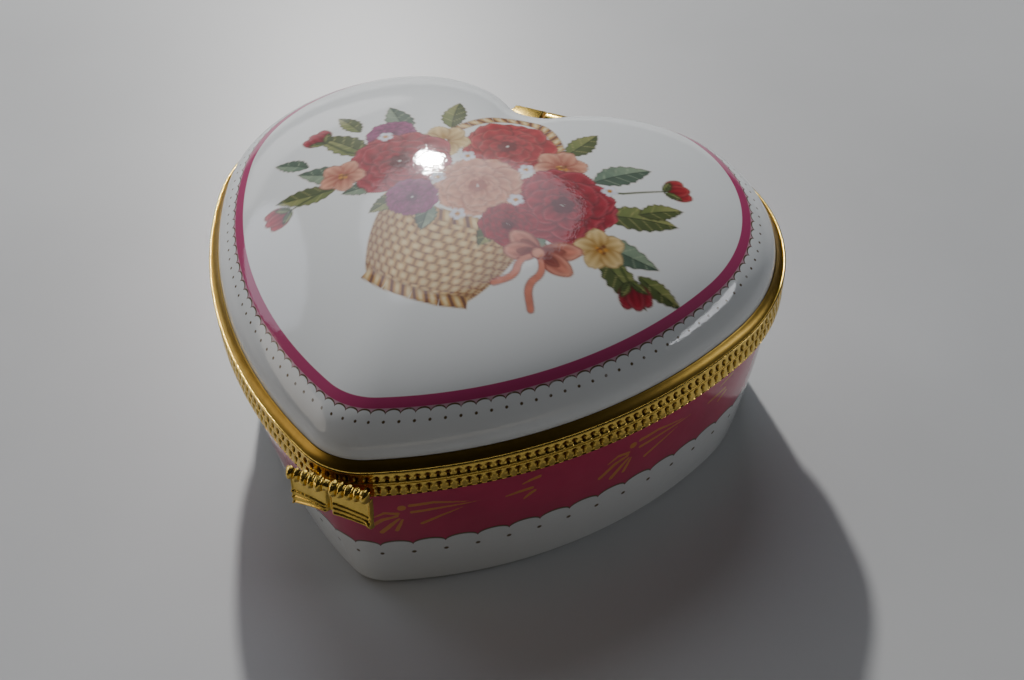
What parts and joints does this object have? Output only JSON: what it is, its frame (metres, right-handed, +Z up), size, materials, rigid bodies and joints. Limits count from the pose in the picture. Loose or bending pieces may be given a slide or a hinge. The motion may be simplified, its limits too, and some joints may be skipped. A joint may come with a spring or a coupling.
{
  "type": "wind-up music box",
  "caption": "Heart-shaped hinged porcelain box with gilt bands and a bow clasp, holding a wind-up music movement that a key underneath winds.",
  "frame": {"origin": "centre of the bounding box at its base, on the surface that the foot ring stands on", "axes": "+Z up; the heart's tip with the clasp points to -Y, which is the front; the hinge is at +Y; +X is to the right seen from the front"},
  "size_m": [0.088, 0.0848, 0.0433],
  "materials": {
    "porcelain": "clear-glazed white porcelain with painted decoration",
    "gilt_brass": "polished, gold-plated",
    "nickel_steel": "nickel-plated, satin",
    "bright_steel": "bright drawn steel",
    "comb_steel": "hardened, ground",
    "spring_steel": "blued spring steel",
    "brass": "machined, unplated",
    "clear_cover": "clear moulded styrene",
    "fibre": "red vulcanised fibre"
  },
  "bodies": {
    "base": {"base_shell": "porcelain", "lower_bezel": "gilt_brass", "base_hinge_leaf": "gilt_brass", "hinge_pin": "gilt_brass", "catch_nub": "gilt_brass", "bedplate": "nickel_steel", "movement_screws": "bright_steel", "screw_washers": "fibre", "clutch_spring": "spring_steel", "barrel_bridge": "nickel_steel", "comb": "comb_steel", "comb_block": "nickel_steel", "comb_screws": "bright_steel", "governor_frame": "nickel_steel", "frame_screws": "bright_steel", "dust_cover": "clear_cover", "stop_guide": "nickel_steel"},
    "lid": {"lid_shell": "porcelain", "upper_bezel": "gilt_brass", "lid_hinge_leaf": "gilt_brass", "clasp_bow": "gilt_brass"},
    "winding": {"winding_key": "nickel_steel", "winding_arbor": "bright_steel"},
    "barrel": {"barrel_drum": "brass", "barrel_cap": "brass", "mainspring": "spring_steel"},
    "cylinder": {"music_cylinder": "brass", "cylinder_arbor": "bright_steel", "cylinder_pinion": "bright_steel", "cylinder_gear": "brass"},
    "governor": {"governor_arbor": "bright_steel", "governor_pinion": "bright_steel", "worm_wheel": "brass"},
    "fan": {"worm_screw": "bright_steel", "governor_fan": "brass"},
    "stop": {"stop_wire": "bright_steel"}
  },
  "joints": [
    {"name": "lid_hinge", "type": "hinge", "parent": "base", "child": "lid", "pos_m": [0, 0.04075, 0.02753], "axis": [-1, 0, 0], "range_deg": [0, 100]},
    {"name": "key_wind", "type": "hinge", "parent": "base", "child": "winding", "pos_m": [-0.0135, 0.00692, 0], "axis": [0, 0, 1], "continuous": true},
    {"name": "barrel_turn", "type": "hinge", "parent": "base", "child": "barrel", "pos_m": [-0.0135, 0.00692, 0], "axis": [0, 0, 1], "continuous": true},
    {"name": "cylinder_turn", "type": "hinge", "parent": "base", "child": "cylinder", "pos_m": [0, 0.00692, 0.02209], "axis": [1, 0, 0], "continuous": true},
    {"name": "governor_turn", "type": "hinge", "parent": "base", "child": "governor", "pos_m": [0, 0.01412, 0.02209], "axis": [1, 0, 0], "continuous": true},
    {"name": "fan_spin", "type": "hinge", "parent": "base", "child": "fan", "pos_m": [0.0217, 0.01882, 0], "axis": [0, 0, 1], "continuous": true},
    {"name": "stop_slide", "type": "slide", "parent": "base", "child": "stop", "axis": [0, 0, 1], "range_m": [0, 0.0024]}
  ],
  "couplings": [
    {"joint": "cylinder_turn", "follows": "barrel_turn", "ratio": 3},
    {"joint": "governor_turn", "follows": "barrel_turn", "ratio": -6},
    {"joint": "fan_spin", "follows": "barrel_turn", "ratio": 108},
    {"joint": "stop_slide", "follows": "lid_hinge", "m_per_rad": 0.001375}
  ]
}
